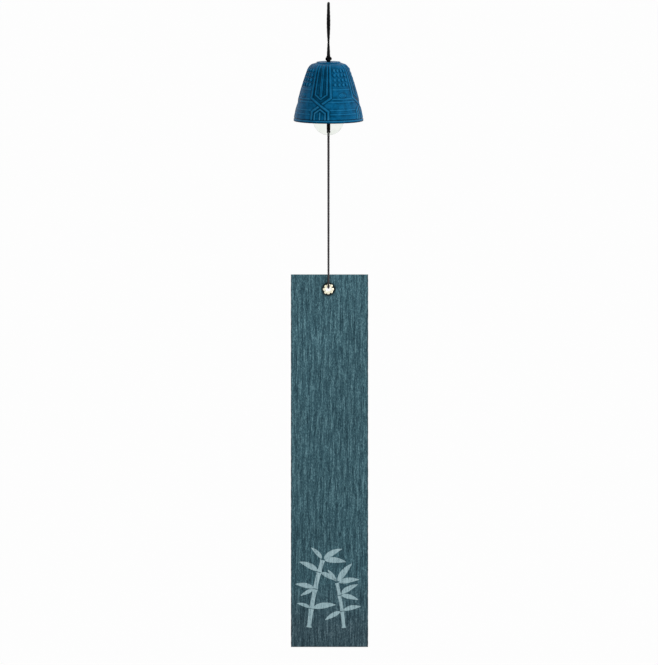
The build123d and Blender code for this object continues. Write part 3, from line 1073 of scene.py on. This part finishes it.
def petal_tree():
    """Petals set round a ring, each a little turned and stretched as a press leaves them."""
    inputs = {"Petal": "Geometry", "Count": "Int", "Middle": "Vector", "Brass": "Material"}
    tree, add, given = new_tree("pressed_petals", inputs)
    spots = add("GeometryNodePoints", {"Count": given["Count"], "Position": given["Middle"]})
    order = add("GeometryNodeInputIndex")
    step = sums(tree, "DIVIDE", 2 * pi, given["Count"])
    values = {"Min": -petal_jitter, "Max": petal_jitter, "Seed": 4}
    jitter = add("FunctionNodeRandomValue", values, data_type="FLOAT").outputs["Value"]
    angle = sums(tree, "ADD", sums(tree, "MULTIPLY", order, step), jitter)
    turn = add("ShaderNodeCombineXYZ", {"Y": angle})
    values = {"Min": petal_least, "Max": petal_most, "Seed": 9}
    stretch = add("FunctionNodeRandomValue", values, data_type="FLOAT_VECTOR")
    values = {"Points": spots, "Instance": given["Petal"], "Rotation": turn, "Scale": stretch}
    ring = add("GeometryNodeInstanceOnPoints", values)
    return end_tree(tree, ring, given["Brass"])


brass = new_material("pale_pressed_brass", pale_brass)
petal_values = {"Count": petal_count, "Middle": (0.0, 0.0, eyelet_level * MM), "Brass": brass}
petals = made_by(petal_tree(), one_petal(brass), petal_values)
eyelet = joined("pressed_eyelet", [build_eyelet_ring(brass), petals])


# The stage, with lights as shares of full white
room_light = 0.47
floor_glow = 0.97
floor_reach = 30000.0
floor_level = -1000.0


def aimed(name, data, place, direction):
    """A camera or a lamp in its place, turned along a direction."""
    made = linked(name, data)
    made.location = place
    made.rotation_mode = "QUATERNION"
    made.rotation_quaternion = direction.to_track_quat("-Z", "Y")
    return made


def build_camera():
    """A long lens far off, looking a little down at the bell."""
    distance = 20.0
    view_height = 0.6442
    pitch = radians(5.5)
    target = Vector((0.0005, 0.0, -0.3196))
    back = Vector((0.0, -cos(pitch), sin(pitch)))
    data = bpy.data.cameras.new("camera")
    data.sensor_width = 36.0
    data.lens = data.sensor_width * distance / view_height
    data.clip_end = 100.0
    bpy.context.scene.camera = aimed("camera", data, target + back * distance, -back)


def build_lamp(name, place, aim, size, power):
    """A soft square lamp turned toward a point."""
    data = bpy.data.lights.new(name, "AREA")
    data.size = size
    data.energy = power
    made = aimed(name, data, place, Vector(aim) - Vector(place))


def seen_directly(tree):
    """1 for what the camera sees, also through glass and in a gloss."""
    path = add_node(tree, "ShaderNodeLightPath").outputs
    mirrored = sums(tree, "MAXIMUM", path["Is Glossy Ray"], path["Is Transmission Ray"])
    return sums(tree, "MAXIMUM", path["Is Camera Ray"], mirrored)


def floor_paint(tree):
    """Pale paint with faint clouds."""
    tones = ((0.3, (240, 240, 240)), (0.7, (248, 248, 248)))
    return {"Base Color": ramp(grain(tree, 3.0, detail=2.0), tones), "Roughness": 0.9}


def build_surroundings():
    """A white room with even light and a pale floor that keeps the shadow."""
    white = (1.0, 1.0, 1.0, 1.0)
    world = bpy.data.worlds.new("white_room")
    bpy.context.scene.world = world
    world.use_nodes = True
    tree = world.node_tree
    strength = fit(seen_directly(tree), 0.0, 1.0, room_light, 1.0)
    fill(tree.nodes["Background"], {"Color": white, "Strength": strength})
    pale = new_material("pale_floor", floor_paint)
    tree = pale.node_tree
    glow = add_node(tree, "ShaderNodeEmission", {"Color": white, "Strength": 1.0})
    share = fit(seen_directly(tree), 0.0, 1.0, 0.0, floor_glow)
    both = add_node(tree, "ShaderNodeMixShader", {0: share, 1: tree.nodes["Principled BSDF"], 2: glow})
    fill(tree.nodes["Material Output"], {"Surface": both})
    signs = ((-1, -1), (1, -1), (1, 1), (-1, 1))
    corners = [(floor_reach * x, floor_reach * y, floor_level) for x, y in signs]
    floor = mesh_object("floor", corners, [(0, 1, 2, 3)], pale, smooth=False)


build_camera()
build_surroundings()
build_lamp("key_lamp", (2.0, -1.25, 0.8), aim=(0.0, 0.0, -0.25), size=1.0, power=36.0)
build_lamp("top_lamp", (-0.3, -0.7, 1.5), aim=(0.0, 0.0, -0.1), size=0.7, power=6.0)

# What each piece rides on and stands for
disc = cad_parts["clapper_disc"]
disc.data.materials.clear()
disc.data.materials.append(new_material("clear_disc_plastic", clear_plastic))
for piece, body, node, finish in (
    (hanging_loop, "hanger", "hanging_loop", "black_cord"),
    (crown_knot, "crown_knot", "crown_knot", "black_cord"),
    (crown_cord, "neck", "crown_cord", "black_cord"),
    (bell, "bell", "bell", "blue_iron"),
    (stopper_knot, "stopper", "stopper_knot", "black_cord"),
    *((strand, "clapper", "clapper_cord", "black_cord") for strand, _ in clapper_strands),
    (clapper_knot, "clapper_knot", "clapper_knot", "black_cord"),
    (strip_string, "string", "strip_string", "charcoal_string"),
    (strip, "strip", "paper_strip", "crepe_paper"),
    (eyelet, "strip", "eyelet", "pale_brass"),
    (bosses, "bell", None, "blue_iron"),
    (lace_tie, "clapper", None, "black_cord"),
    (strip_print, "strip", None, "crepe_paper"),
):
    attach(piece, body)
    if node:
        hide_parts(node)

bpy.context.scene.view_settings.view_transform = "Standard"
